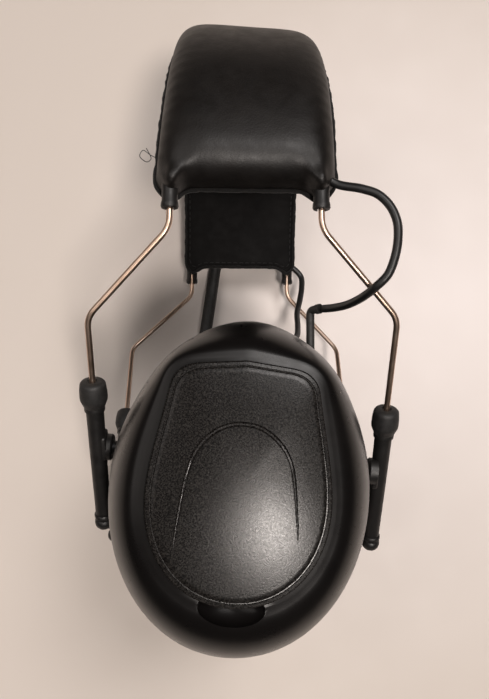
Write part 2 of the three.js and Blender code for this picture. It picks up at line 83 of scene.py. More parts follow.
CUP = {"top": 44.6, "widest": -8, "bottom": -58.9, "half_width": 40.6}
LID = {"top": 29.1, "bottom": -35.4, "half_width": 24.7, "under": 46.3, "face": 49.9}
SHELL = {"rim": -8.3, "seat": 46, "wall": 2.3, "roundness": 2.2}
CUSHION = {"face": -24.4, "back": -10.9, "hole": (20, 30)}
PLATE = {"back": -10.6, "front": -8.6}
EAR_CENTRE_Y = -7.6
FOAM_DISC = {"half": (29, 40), "back": -3.1, "face": -6.1}
CELL = {"radius": 5.2, "length": 44.5, "x": 5.5, "w": 38.6, "y": -2.8}
TRAY = {"half_width": 12.4, "half_height": 24, "floor": 31.6}
LID_HINGE = {"y": 28, "w": 47.4, "half_length": 6.2, "channel": 0.6}
LID_TURN = math.radians(1.7)  # the lid sits a little askew on its cup,
LID_SHIFT = -1.5  # and to the front
CABLE_RADIUS = 1.3
ANTENNA_RADIUS = 3.1
KNOB = {"x": 15, "y": -56.2, "w": 14, "radius": 5.5}


def cup_in_half(side):
    """The cup's frame in its half frame: its origin is the middle of the pivot line."""
    front, rear = SLIDER_START[side]
    along = (front + rear) / 2 + COLLAR_TO_PIVOT
    drop = (rear - front) * math.cos(WIRE_LEAN)
    place = Vector((
        0,
        -along * math.cos(WIRE_LEAN),
        LOWER_BEND_Z - along * math.sin(WIRE_LEAN),
    ))
    turn = -math.atan(drop / (2 * WIRE_SPREAD_LOW))
    return Matrix.Translation(place) @ Matrix.Rotation(turn, 4, "Z")


MID = cup_in_half("right").translation.z + LID["face"]
HALF = {
    side: Matrix.Translation((0, ORIGIN_Y, MID)) @ Matrix.Diagonal((1, 1, sign, 1))
    for side, sign in (("left", 1), ("right", -1))
}
CUP_FRAME = {side: HALF[side] @ cup_in_half(side) for side in SIDES}


def slider_frame(side, end):
    """A frame at the lower wire bend whose -Y runs down the wire."""
    place = Matrix.Translation((end * WIRE_SPREAD_LOW, 0, LOWER_BEND_Z))
    return HALF[side] @ place @ Matrix.Rotation(WIRE_LEAN, 4, "X")


# -------- camera
CAMERA = {"at": (-0.0073, -0.02565, 0.3530), "forward": (0.0348, 0.0786, -0.9963), "lens": 38.11}
CAMERA_UP = (-0.0036, 0.9969, 0.0786)


def make_camera():
    """From above the left cup, looking almost straight down."""
    data = bpy.data.cameras.new("camera")
    data.lens = CAMERA["lens"]
    data.sensor_width = 36
    data.clip_start = 0.01
    camera = bpy.data.objects.new("camera", data)
    bpy.context.scene.collection.objects.link(camera)
    forward = Vector(CAMERA["forward"]).normalized()
    side = forward.cross(Vector(CAMERA_UP)).normalized()
    rotation = Matrix((side, side.cross(forward), -forward)).transposed().to_4x4()
    camera.matrix_world = Matrix.Translation(CAMERA["at"]) @ rotation
    bpy.context.scene.camera = camera


# -------- shapes: (points, faces)
def turns(count):
    """Evenly spaced angles round a circle."""
    return [2 * math.pi * i / count for i in range(count)]


def loft(rings, closed=False, caps=True):
    """A surface through rings of equally many points."""
    count = len(rings[0])
    points = [Vector(p) for ring in rings for p in ring]
    faces = []
    for i in range(len(rings) if closed else len(rings) - 1):
        a, b = i * count, (i + 1) % len(rings) * count
        faces += [
            (a + j, a + (j + 1) % count, b + (j + 1) % count, b + j) for j in range(count)
        ]
    if caps and not closed:
        faces.append(tuple(reversed(range(count))))
        faces.append(tuple(range(len(points) - count, len(points))))
    return points, faces


def joined(*shapes):
    points, faces = [], []
    for more_points, more_faces in shapes:
        start = len(points)
        points += more_points
        faces += [tuple(start + i for i in face) for face in more_faces]
    return points, faces


def lathe(profile, sides=40):
    """A turned solid: the profile's points are (radius, height) about the Y axis."""
    return loft([
        [(radius * math.cos(turn), height, radius * math.sin(turn)) for turn in turns(sides)]
        for radius, height in profile
    ])


def tube(path, radius, sides=16, closed=False, flat=1.0, normals=None):
    """A tube along a path; radius is a number or a function of the share of the way along.

    Given normals aim its rings, and flat narrows or widens them across.
    """
    path = [Vector(p) for p in path]
    count = len(path)
    rings, normal = [], None
    for i, at in enumerate(path):
        before = path[i - 1] if i or closed else at
        after = path[(i + 1) % count] if i < count - 1 or closed else at
        along = (after - before).normalized()
        if normals:
            normal = Vector(normals[i])
        elif normal is None:
            normal = along.orthogonal()
        normal = (normal - along * normal.dot(along)).normalized()
        across = along.cross(normal)
        r = radius(i / (count - 1)) if callable(radius) else radius
        rings.append([
            at + normal * (r * math.cos(turn)) + across * (r * flat * math.sin(turn))
            for turn in turns(sides)
        ])
    return loft(rings, closed)


def rod(start, end, radius, sides=32):
    return tube([start, end], radius, sides)


def rounded_box(size, at, radius=0.4):
    box = bmesh.new()
    bmesh.ops.create_cube(box, size=1)
    bmesh.ops.scale(box, vec=Vector(size), verts=box.verts)
    bmesh.ops.bevel(box, geom=box.edges[:], offset=radius, segments=3, affect="EDGES", profile=0.5)
    bmesh.ops.translate(box, vec=Vector(at), verts=box.verts)
    box.verts.index_update()
    shape = [v.co.copy() for v in box.verts], [tuple(v.index for v in f.verts) for f in box.faces]
    box.free()
    return shape


def ellipsoid(at, radii, across=48, up=24):
    rings = []
    for i in range(1, up):
        tilt = math.pi * i / up - math.pi / 2
        rings.append([
            (
                at[0] + radii[0] * math.cos(tilt) * math.cos(turn),
                at[1] + radii[1] * math.cos(tilt) * math.sin(turn),
                at[2] + radii[2] * math.sin(tilt),
            )
            for turn in turns(across)
        ])
    return loft(rings)


def smooth_curve(points, steps=10):
    """A centripetal Catmull-Rom curve through the points."""
    points = [Vector(p) for p in points]
    ends = [2 * points[0] - points[1], *points, 2 * points[-1] - points[-2]]
    path = []
    for p0, p1, p2, p3 in zip(ends, ends[1:], ends[2:], ends[3:]):
        t1 = (p1 - p0).length ** 0.5
        t2 = t1 + (p2 - p1).length ** 0.5
        t3 = t2 + (p3 - p2).length ** 0.5
        for i in range(steps):
            t = t1 + (t2 - t1) * i / steps
            a1 = p0.lerp(p1, t / t1)
            a2 = p1.lerp(p2, (t - t1) / (t2 - t1))
            a3 = p2.lerp(p3, (t - t2) / (t3 - t2))
            b1 = a1.lerp(a2, t / t2)
            b2 = a2.lerp(a3, (t - t1) / (t3 - t1))
            path.append(b1.lerp(b2, (t - t1) / (t2 - t1)))
    return path + [points[-1]]


def bent_line(points, radius, steps=8):
    """Straight runs joined by round corners."""
    points = [Vector(p) for p in points]
    path = [points[0]]
    for before, at, after in zip(points, points[1:], points[2:]):
        start = at + (before - at).normalized() * radius
        end = at + (after - at).normalized() * radius
        for i in range(steps + 1):
            t = i / steps
            path.append(start.lerp(at, t).lerp(at.lerp(end, t), t))
    return path + [points[-1]]


def length_of(path):
    return sum((b - a).length for a, b in zip(path, path[1:]))


def resampled(path, step):
    """The path again, with points about step apart."""
    total = length_of(path)
    count = max(2, round(total / step))
    result, i, walked = [], 0, 0.0
    for k in range(count + 1):
        target = total * k / count
        while i < len(path) - 2 and walked + (path[i + 1] - path[i]).length < target:
            walked += (path[i + 1] - path[i]).length
            i += 1
        span = (path[i + 1] - path[i]).length
        result.append(path[i].lerp(path[i + 1], min(1, (target - walked) / span)))
    return result


# -------- pieces
def make_mesh(name, shape, place):
    points, faces = shape
    mesh = bpy.data.meshes.new(name)
    mesh.from_pydata([(place @ Vector(p)) * MM for p in points], [], faces)
    work = bmesh.new()
    work.from_mesh(mesh)
    bmesh.ops.remove_doubles(work, verts=work.verts[:], dist=1e-7)
    bmesh.ops.recalc_face_normals(work, faces=work.faces[:])
    work.to_mesh(mesh)
    work.free()
    piece = bpy.data.objects.new(name, mesh)
    bpy.context.scene.collection.objects.link(piece)
    return piece


def carve(piece, shape, place, operation="DIFFERENCE"):
    """Cuts a closed shape out of a piece, or joins it on."""
    cutter = make_mesh("cutter", shape, place)
    modifier = piece.modifiers.new("carve", "BOOLEAN")
    modifier.operation = operation
    modifier.solver = "EXACT"
    modifier.object = cutter
    bpy.context.view_layer.update()
    shown = piece.evaluated_get(bpy.context.evaluated_depsgraph_get())
    mesh = bpy.data.meshes.new_from_object(shown)
    piece.modifiers.clear()
    piece.data = mesh
    bpy.data.objects.remove(cutter)


def paint(piece, finish, crease=35):
    piece.data.materials.clear()
    piece.data.materials.append(MATERIALS[finish])
    piece.data.shade_smooth()
    piece.data.set_sharp_from_angle(angle=math.radians(crease))


def hand_over(piece, body, replaced=()):
    """Puts a finished piece on its CAD body, in place of the CAD nodes that it stands for."""
    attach(piece, body)
    if replaced:
        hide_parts(*replaced)


def add_piece(name, shape, place, body, slot, replaced=(), crease=35, finish=None):
    """A whole piece in one step; its finish is its slot's, unless another is given."""
    piece = make_mesh(name, shape, place)
    paint(piece, finish or slot, crease)
    hand_over(piece, body, replaced)
    return piece


# -------- materials
def set_sockets(node, **values):
    for socket, value in values.items():
        node.inputs[socket.replace("_", " ")].default_value = value


class Paint:
    """A Principled material whose colour, roughness and normal come from procedural nodes."""

    def __init__(self, name, roughness=0.5, metallic=0.0, **sockets):
        self.material = bpy.data.materials.new(name)
        self.material.use_nodes = True
        self.nodes = self.material.node_tree.nodes
        self.shader = self.nodes["Principled BSDF"]
        set_sockets(self.shader, Roughness=roughness, Metallic=metallic, **sockets)
        self.place = self.nodes.new("ShaderNodeTexCoord").outputs["Object"]
        self.normal = None

    def link(self, output, target):
        self.material.node_tree.links.new(output, target)

    def add(self, kind, source, socket, **values):
        """A new node with its values set and a source linked to one of its sockets."""
        node = self.nodes.new("ShaderNode" + kind)
        set_sockets(node, **values)
        self.link(source, node.inputs[socket])
        return node

    def noise(self, size, detail=2.0, rough=0.5, squeeze=None):
        """Cloudy noise whose features are about size millimetres, over squeeze along each axis."""
        where = self.place
        if squeeze:
            where = self.add("Mapping", where, "Vector", Scale=squeeze).outputs["Vector"]
        values = {"Scale": 1 / (size * MM), "Detail": detail, "Roughness": rough}
        return self.add("TexNoise", where, "Vector", **values).outputs["Fac"]

    def cells(self, size, feature="F1"):
        """Cell noise whose cells are about size millimetres."""
        node = self.add("TexVoronoi", self.place, "Vector", Scale=1 / (size * MM))
        node.feature = feature
        return node.outputs["Distance"]

    def between(self, value, low, high, start=0.3, end=0.7):
        """The value's stretch from start to end, mapped to low to high."""
        ends = {"From_Min": start, "From_Max": end, "To_Min": low, "To_Max": high}
        return self.add("MapRange", value, "Value", **ends).outputs["Result"]

    def colour(self, value, low, high, start=0.3, end=0.7):
        ramp = self.add("ValToRGB", value, "Fac")
        first, last = ramp.color_ramp.elements
        first.position, last.position = start, end
        first.color, last.color = (*low, 1), (*high, 1)
        self.link(ramp.outputs["Color"], self.shader.inputs["Base Color"])

    def rough(self, value, low, high, start=0.3, end=0.7):
        self.link(self.between(value, low, high, start, end), self.shader.inputs["Roughness"])

    def bump(self, height, depth, strength=1.0):
        """Relief of depth millimetres, on top of any earlier relief."""
        node = self.add("Bump", height, "Height", Distance=depth * MM, Strength=strength)
        if self.normal:
            self.link(self.normal, node.inputs["Normal"])
        self.normal = node.outputs["Normal"]
        self.link(self.normal, self.shader.inputs["Normal"])


def leatherette():
    """Black coated fabric: fine pebbled grain, soft creases and a slight sheen where it is worn."""
    p = Paint("leatherette", Specular_IOR_Level=0.31)
    p.colour(p.noise(9, 4), (0.0042, 0.0034, 0.0031), (0.0075, 0.0062, 0.0056))
    p.rough(p.noise(5, 5, 0.65), 0.4, 0.52)
    p.bump(p.noise(3.2, 3), 0.09, 0.5)
    p.bump(p.cells(0.55, "SMOOTH_F1"), 0.035, 0.6)
    p.bump(p.noise(0.22, 2), 0.012, 0.7)
    return p


def lining():
    """The dull inner cover that lies on the wearer's head; its colour, darker than the leatherette's, is
    partly painted shade of the arch's inside.
    """
    p = Paint("lining", 0.75, Specular_IOR_Level=0.12)
    # partly the lining's own dark tone, partly painted shade of the inside of the arch
    p.colour(p.noise(6, 4), (0.0022, 0.0019, 0.0018), (0.0045, 0.004, 0.0038))
    p.rough(p.noise(3, 4), 0.66, 0.8)
    p.bump(p.noise(3.2, 3), 0.06, 0.5)
    p.bump(p.cells(0.55, "SMOOTH_F1"), 0.03, 0.6)
    return p


def binding_fabric():
    """Black sewn tape: fine ribs with loose fibres."""
    p = Paint("binding_fabric", 0.9, Specular_IOR_Level=0.2, Sheen_Weight=0.08, Sheen_Roughness=0.5)
    p.colour(p.noise(0.7, 4, 0.7), (0.003, 0.003, 0.003), (0.012, 0.011, 0.0105))
    p.bump(p.noise(0.5, 4, 0.75), 0.3, 0.9)
    return p


def thread():
    p = Paint("thread", 0.75)
    p.colour(p.noise(0.3, 2), (0.003, 0.003, 0.003), (0.009, 0.0085, 0.008))
    p.bump(p.noise(0.15, 2), 0.05)
    return p


def gloss_black():
    """Smooth moulded plastic with a faint orange peel and light handling marks."""
    p = Paint("gloss_black", 0.3, Specular_IOR_Level=0.21)
    p.colour(p.noise(22, 3), (0.0035, 0.003, 0.003), (0.0052, 0.0045, 0.0043))
    p.rough(p.noise(14, 6, 0.7), 0.25, 0.34)
    p.bump(p.noise(1.4, 2), 0.006, 0.5)
    p.bump(p.noise(0.12, 1), 0.0022, 0.8)
    return p


def grained_black():
    """Spark-eroded plastic: dense sharp grain that glitters where the light falls on it."""
    p = Paint("grained_black", 0.3, Specular_IOR_Level=0.2)
    p.colour(p.noise(0.42, 2, 0.6), (0.0025, 0.0022, 0.002), (0.025, 0.0225, 0.0205), 0.42, 0.72)
    p.rough(p.noise(0.6, 2), 0.2, 0.28)
    p.bump(p.noise(0.42, 2, 0.6), 0.024, 0.8)
    p.bump(p.noise(0.2, 2, 0.6), 0.007, 0.8)
    return p


def matte_black():
    p = Paint("matte_black", 0.5)
    p.colour(p.noise(4, 4), (0.004, 0.0036, 0.0036), (0.0085, 0.0078, 0.0074))
    p.rough(p.noise(2.5, 5, 0.7), 0.4, 0.56)
    p.bump(p.noise(0.28, 2), 0.014, 0.7)
    return p


def black_rubber():
    """Slightly dusty rubber with a dull, uneven surface."""
    p = Paint("black_rubber", 0.6)
    p.colour(p.noise(1.6, 5, 0.7), (0.006, 0.0058, 0.0058), (0.018, 0.017, 0.0165))
    p.rough(p.noise(1.2, 4, 0.65), 0.5, 0.7)
    p.bump(p.noise(0.45, 3, 0.6), 0.03, 0.7)
    return p


def cable_sheath():
    p = Paint("cable_sheath", 0.42)
    p.colour(p.noise(6, 3), (0.0045, 0.0045, 0.0047), (0.008, 0.008, 0.008))
    p.rough(p.noise(3, 4, 0.6), 0.36, 0.48)
    p.bump(p.noise(0.5, 2), 0.008, 0.6)
    return p


def wire_steel():
    """Drawn steel with a coppery passivated tint and fine lengthwise draw marks."""
    p = Paint("wire_steel", 0.28, 1.0)
    p.colour(p.noise(9, 3), (0.58, 0.42, 0.32), (0.68, 0.52, 0.42))
    p.rough(p.noise(3, 3), 0.3, 0.38)
    p.bump(p.noise(0.3, 2, 0.6, (3, 0.12, 1)), 0.003, 0.4)
    return p


def bright_steel():
    p = Paint("bright_steel", 0.3, 1.0)
    p.colour(p.noise(2, 3), (0.42, 0.42, 0.43), (0.6, 0.6, 0.6))
    p.rough(p.noise(0.8, 4), 0.2, 0.42)
    p.bump(p.noise(0.3, 2), 0.008)
    return p


def foam():
    """Open-cell foam, with painted shade darkening its small pores."""
    p = Paint("foam", 0.95)
    # painted shade: darkest at each pore's middle, where the bump below sinks in
    p.colour(p.cells(0.8), (0.006, 0.006, 0.0062), (0.05, 0.05, 0.052), 0.1, 0.55)
    p.bump(p.cells(0.8), 0.4, 0.9)
    p.bump(p.noise(0.35, 3), 0.12)
    return p


def circuit_board():
    """Green solder mask with fine copper tracks under it."""
    p = Paint("circuit_board", 0.35)
    p.colour(p.cells(1.1, "DISTANCE_TO_EDGE"), (0.012, 0.10, 0.045), (0.006, 0.045, 0.02), 0.03, 0.08)
    p.rough(p.noise(2, 3), 0.28, 0.42)
    p.bump(p.cells(1.1, "DISTANCE_TO_EDGE"), 0.03)
    return p


def battery_jacket():
    """A cell's plain printed sleeve over steel."""
    p = Paint("battery_jacket", 0.3, 0.55)
    p.colour(p.noise(3, 3), (0.10, 0.105, 0.115), (0.16, 0.165, 0.175))
    p.rough(p.noise(1.4, 4), 0.24, 0.4)
    p.bump(p.noise(0.6, 2), 0.006)
    return p


PAINTED_LIGHT_SPOT = (0.11, 0.03, 0)  # centre of the pool of light painted into the desk's colour
# how far the painted light fades, out to the darker colour further off
PAINTED_LIGHT_REACH = 0.19


def pale_floor_painted_light():
    """A smooth light desk top, with a pool of light painted into its colour: palest beside the headset,
    darker with distance.
    """
    p = Paint("pale_floor_painted_light", 0.6)
    distance = p.add("VectorMath", p.place, 0)
    distance.operation = "DISTANCE"
    distance.inputs[1].default_value = PAINTED_LIGHT_SPOT
    share = p.between(distance.outputs["Value"], 0, 1, 0, PAINTED_LIGHT_REACH)
    # painted light: palest at the spot, painted darker out to the reach
    p.colour(share, (0.82, 0.755, 0.735), (0.60, 0.535, 0.485), 0, 1)
    p.rough(p.noise(20, 4), 0.5, 0.65)
    p.bump(p.noise(1.5, 3), 0.02, 0.4)
    return p


MATERIALS = {
    make.__name__: make().material
    for make in (
        leatherette, lining, binding_fabric, thread, gloss_black, grained_black, matte_black,
        black_rubber, cable_sheath, wire_steel, bright_steel, foam, circuit_board, battery_jacket,
        pale_floor_painted_light,
    )
}


# -------- cords
CABLE_IN_PAD = [(17.5, 47, 65.0), (22, 42, 64.6), (27, 38.6, 64.8)]
CABLE_LOOP = {
    "left": [
        (33.7, 36.8, 66.6), (38.3, 34.9, 67.6), (41.8, 31.2, 68.2), (43.6, 26.6, 68.5),
        (43.8, 21.9, 68.4), (43, 16.6, 67.7), (41.1, 11.6, 66.7), (38.1, 8.5, 64.8),
        (35.3, 6.3, 59.2), (32, 5.1, 51), (28.9, 5.1, 44), (26.5, 5.35, 39.9),
    ],
    "right": [
        (30.8, 34.5, 65), (30.9, 29, 62.5), (29.6, 22.5, 59), (27.8, 16, 54), (27.4, 10, 48),
        (26.6, 5.2, 42), (25.2, 2.8, 38.6),
    ],
}
CABLE_LOWER_LENGTH = 31.5  # the stretch nearest the cup, made as a piece of its own
CABLE_IN_PAD_START = 14  # how far inside the pad the free cord's mesh starts
CABLE_STEP = 0.6
CABLE_ARCH_X = 14
CABLE_ARCH_END = 0.22  # angle above the pad's end at which the lead leaves the arch


def arch_point(x, radius, angle):
    return Vector((x, ARCH_CENTRE_Y + radius * math.sin(angle), radius * math.cos(angle)))


def make_cables():
    """The lead between the cups: from the pad's rear corner to each cup, in a piece inside the band, an
    upper piece and a lower piece.
    """
    for side in SIDES:
        drop = (CABLE_ARCH_END - math.pi / 2) / 8
        arch = [arch_point(CABLE_ARCH_X, WIRE_ARCH_RADIUS, math.pi / 2 + drop * i) for i in range(9)]
        whole = resampled(smooth_curve([*arch, *CABLE_IN_PAD, *CABLE_LOOP[side]]), CABLE_STEP)
        pad_end = Vector(CABLE_IN_PAD[-1])
        free_start = min(range(len(whole)), key=lambda i: (whole[i] - pad_end).length)
        hidden = round(CABLE_IN_PAD_START / CABLE_STEP)
        lower = round(CABLE_LOWER_LENGTH / CABLE_STEP)
        spans = {
            "in_band": (0, free_start - hidden + 1),
            "upper": (free_start - hidden, len(whole) - lower + 1),
            "lower": (len(whole) - lower, len(whole)),
        }
        for part, (start, end) in spans.items():
            path = whole[start:end]
            piece = make_mesh(f"{side}_cable_{part}", tube(path, CABLE_RADIUS, 20), HALF[side])
            paint(piece, "cable_sheath", 60)
            if part == "in_band":
                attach(piece, f"{side}_headband")
                continue
            if part == "upper":
                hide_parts(f"{side}_cable")
            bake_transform(piece)


# -------- headband
PAD_REACH = PAD_MIDDLE_RADIUS * math.acos((PAD_END_Y - ARCH_CENTRE_Y) / PAD_MIDDLE_RADIUS)
PAD_CORNER = 3.5  # plan radius of the pad's four corners
EDGE_HALF_WIDTH = 26  # the half width that an inset from the pad's sides is measured on
SEAM_HEIGHT = -4.6  # where the outer and inner covers are sewn together, from the pad's middle line
OUTER_HEIGHT = 6.5
INNER_HEIGHT = -6.4
END_ROUND = 13  # how far from its ends the pad is rounded
GATHER_REACH = 3.6  # size of the gathered leatherette round each wire


def sway(along):
    """How far the worn headband leans to the rear, at that distance from the crown."""
    share = along / PAD_REACH
    if share < 0:
        return 2.6 + 0.4 * share
    return 0.4 + 2.2 * math.cos(math.pi / 2 * min(1, share))


def droop(x, along):
    """How far the gathered corners hang past the pad's straight ends."""
    at_wire = math.exp(-(((abs(x) - WIRE_SPREAD_TOP) / GATHER_REACH) ** 2))
    return math.copysign(3.2 * at_wire * abs(along / PAD_REACH) ** 14, along)


def band_point(x, height, along):
    """A point of the band: along is the distance from the crown, positive towards the left cup."""
    angle = (along + droop(x, along)) / PAD_MIDDLE_RADIUS
    radius = PAD_MIDDLE_RADIUS + height
    lean = 0.06 * x * math.cos(min(1, abs(along) / PAD_REACH) * math.pi / 2)
    return Vector((
        x + sway(along),
        ARCH_CENTRE_Y + ORIGIN_Y + radius * math.cos(angle) - lean,
        MID + radius * math.sin(angle),
    ))


def band_half_width(along):
    """Half the band's width there: it flares towards the left cup and has round corners."""
    to_end = PAD_REACH - abs(along)
    flare = (PAD_WIDTH["end"] - PAD_WIDTH["crown"]) / 2
    half = PAD_WIDTH["crown"] / 2 + flare * max(0, along / PAD_REACH) ** 2
    if to_end >= PAD_CORNER:
        return half
    return half - PAD_CORNER + math.sqrt(PAD_CORNER**2 - (PAD_CORNER - to_end) ** 2)


def wander(x, y, scale, seed):
    """Smooth noise from -1 to 1 whose features are about scale millimetres."""
    return noise.noise(Vector((x / scale, y / scale, seed)))


def band_height(x, along, outer):
    """Height of the outer or inner cover above the pad's middle line."""
    to_end = PAD_REACH - abs(along)
    half = band_half_width(along)
    u = min(1.0, abs(x) / half)
    d = min(1.0, to_end / END_ROUND)
    to_side = half - abs(x)
    sewn = math.exp(-to_side / 2.6) * math.sin(along * 1.55 + 2.2 * wander(along, x, 17, 3))
    sewn += math.exp(-to_end / 2.6) * math.sin(x * 1.5 + 2 * wander(x, along, 11, 7))
    corner = math.hypot(abs(x) - WIRE_SPREAD_TOP, to_end - 1)
    gather = math.exp(-((corner / GATHER_REACH) ** 2))
    ray = math.sin(7 * math.atan2(to_end - 1, abs(x) - WIRE_SPREAD_TOP) + 3)
    free = (1 - u**6) ** 0.5 * (1 - (1 - d) ** 4) ** 0.5
    if outer:
        rise = (1 - u**6) ** 0.5 * (1 - (1 - d) ** 2.5) ** 0.5
        height = SEAM_HEIGHT + (OUTER_HEIGHT - SEAM_HEIGHT) * rise
        height += free * (0.25 * wander(x, along, 24, 1) + 0.25 * sewn)
        height += free * (gather * 8 + 0.6 * math.exp(-corner / 5) * ray)
        return height
    rise = (1 - u**7) ** 0.5 * (1 - (1 - d) ** 5) ** 0.5
    height = SEAM_HEIGHT + (INNER_HEIGHT - SEAM_HEIGHT) * rise
    height += free * (0.14 * wander(x, along, 13, 5) - 0.25 * sewn - 0.35 * gather * ray)
    crease = math.sin(along * 0.62 + 2.5 * wander(x, along, 30, 9))
    return height + 0.08 * free * max(0.0, crease) ** 3


def sine_steps(count):
    """Numbers from -1 to 1, closest together at the ends."""
    return [math.sin(math.pi / 2 * (2 * i / count - 1)) for i in range(count + 1)]


def band_cover_shape():
    """The outer cover's faces, then as many of the inner cover's, meeting at the seam."""
    rows, columns = sine_steps(250), sine_steps(60)
    points, faces = [], []
    for outer in (True, False):
        start = len(points)
        for v in rows:
            along = PAD_REACH * v
            half = band_half_width(along)
            points += [band_point(half * u, band_height(half * u, along, outer), along) for u in columns]
        width = len(columns)
        for i in range(len(rows) - 1):
            for j in range(width - 1):
                a = start + i * width + j
                faces.append((a, a + 1, a + width + 1, a + width))
    return points, faces


def band_edge(inset, step):
    """Points round the pad's edge as (across, along), an inset inside it and a step apart."""
    plan = []
    for side in (1, -1):
        for v in sine_steps(120):
            along = side * PAD_REACH * v
            half = band_half_width(along)
            x = side * half * (1 - inset / EDGE_HALF_WIDTH)
            plan.append(Vector((x, along * (1 - inset / PAD_REACH), 0)))
    plan.append(plan[0])
    return resampled(plan, step)[:-1]


def add_band_piece(name, shape, finish):
    """A piece of the pad, left in the row frame without a body."""
    piece = make_mesh(name, shape, Matrix())
    paint(piece, finish, 80)
    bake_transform(piece)
    return piece


def make_band_cover():
    """The padded cover: leatherette outside and a duller lining on the wearer's side."""
    cover = add_band_piece("headband_cover", band_cover_shape(), "leatherette")
    cover.data.materials.append(MATERIALS["lining"])
    for face in cover.data.polygons[len(cover.data.polygons) // 2:]:
        face.material_index = 1
    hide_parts(*(f"{side}_headband_{layer}" for side in SIDES for layer in ("cover", "foam")))


def make_binding():
    """The slightly uneven tape sewn round the pad's edge."""
    edge = band_edge(-0.25, 0.8)
    wavy = [
        band_point(
            p.x + 0.25 * wander(p.x, p.y, 3.1, 4),
            SEAM_HEIGHT + 0.35 * wander(p.x, p.y, 4.3, 2), p.y,
        )
        for p in edge
    ]
    angles = [p.y / PAD_MIDDLE_RADIUS for p in edge]
    outward = [Vector((0, math.cos(angle), math.sin(angle))) for angle in angles]
    radius = [0.95 + 0.3 * wander(p.x, p.y, 2.1, 6) for p in edge]
    last = len(edge) - 1
    shape = tube(wavy, lambda t: radius[round(t * last)], 10, True, 0.75, outward)
    add_band_piece("headband_binding", shape, "binding_fabric")


def make_stitches():
    """Short stitches whose ends sink into the lining."""
    stitches = []
    line = band_edge(1.6, 2.7)
    for i, p in enumerate(line):
        ahead = (line[(i + 1) % len(line)] - line[i - 1]).normalized() * 0.85
        ends = [p - ahead, p - ahead * 0.5, p + ahead * 0.5, p + ahead]
        lift = (0.15, -0.12, -0.12, 0.15)
        path = [band_point(q.x, band_height(q.x, q.y, False) + up, q.y) for q, up in zip(ends, lift)]
        stitches.append(tube(path, 0.17, 6))
    add_band_piece("headband_stitches", joined(*stitches), "thread")


LOOSE_THREAD = [
    (-25.4, 46.5, 62), (-27.6, 47.4, 62.6), (-29.6, 48.6, 63), (-30.6, 46.9, 62.8),
    (-28.6, 45.4, 62.2), (-27.4, 46.6, 61.6), (-28.8, 49.6, 62),
]


def make_loose_thread():
    """A curled end of thread at the pad's front corner by the left cup."""
    path = smooth_curve(LOOSE_THREAD, 6)
    shape = tube(path, 0.12, 6)
    add_piece("loose_thread", shape, HALF["left"], "left_headband", "leatherette", (), 80, "thread")


def make_wires():
    """Two bent wires and their ferrules in each half, leaning with the pad that they run through."""
    shares = [i / 24 for i in range(25)]
    for side, sign in (("right", -1), ("left", 1)):
        for place, end in ENDS.items():
            across = [end * WIRE_SPREAD_TOP + sway(sign * PAD_REACH * share) for share in shares]
            angles = [math.pi / 2 * (1 - share) for share in shares]
            arch = [arch_point(x, WIRE_ARCH_RADIUS, angle) for x, angle in zip(across, angles)]
            x = across[-1]
            low = Vector((end * WIRE_SPREAD_LOW, 0, LOWER_BEND_Z))
            corners = [arch[-1], (x, *UPPER_BEND), low, low + WIRE_DOWN * WIRE_TAIL]
            bends = bent_line(corners, WIRE_BEND_RADIUS, 10)
            shape = tube(resampled(arch[:-1] + bends, 0.9), WIRE_RADIUS, 16)
            name = f"{side}_{place}_spring_wire"
            replaced = [f"{side}_{place}_wire"]
            add_piece(name, shape, HALF[side], f"{side}_headband", "wire_steel", replaced, 60)
            make_ferrule(side, place, x)


def make_ferrule(side, place, x):
    """The short channel that grips the wire at the pad's end, open towards the head."""
    radius, top, bottom = FERRULE["radius"], FERRULE["top"], FERRULE["bottom"]
    profile = [
        (0, top), (radius - 0.4, top), (radius - 0.1, top - 0.4), (radius - 0.15, bottom + 2.4),
        (radius + 0.1, bottom + 1.6), (radius + 0.15, bottom + 0.7), (radius - 0.1, bottom + 0.2),
        (radius - 0.6, bottom), (1.3, bottom + 0.1), (1.2, bottom + 0.8), (0, bottom + 0.8),
    ]
    at = HALF[side] @ Matrix.Translation((x, 0, FERRULE["z"]))
    piece = make_mesh(f"{side}_{place}_wire_ferrule", lathe(profile, 32), at)
    carve(piece, rounded_box((2.0, 9, 4), (0, bottom + 3.6, -2.2), 0.3), at)
    paint(piece, "matte_black")
    hand_over(piece, f"{side}_headband", [f"{side}_{place}_ferrule"])


# -------- sliders
def tapered_rod(path, radius, sides):
    """A round rod that narrows by half a millimetre at its very end."""
    return tube(path, lambda t: radius - 0.5 * (t == 1), sides)


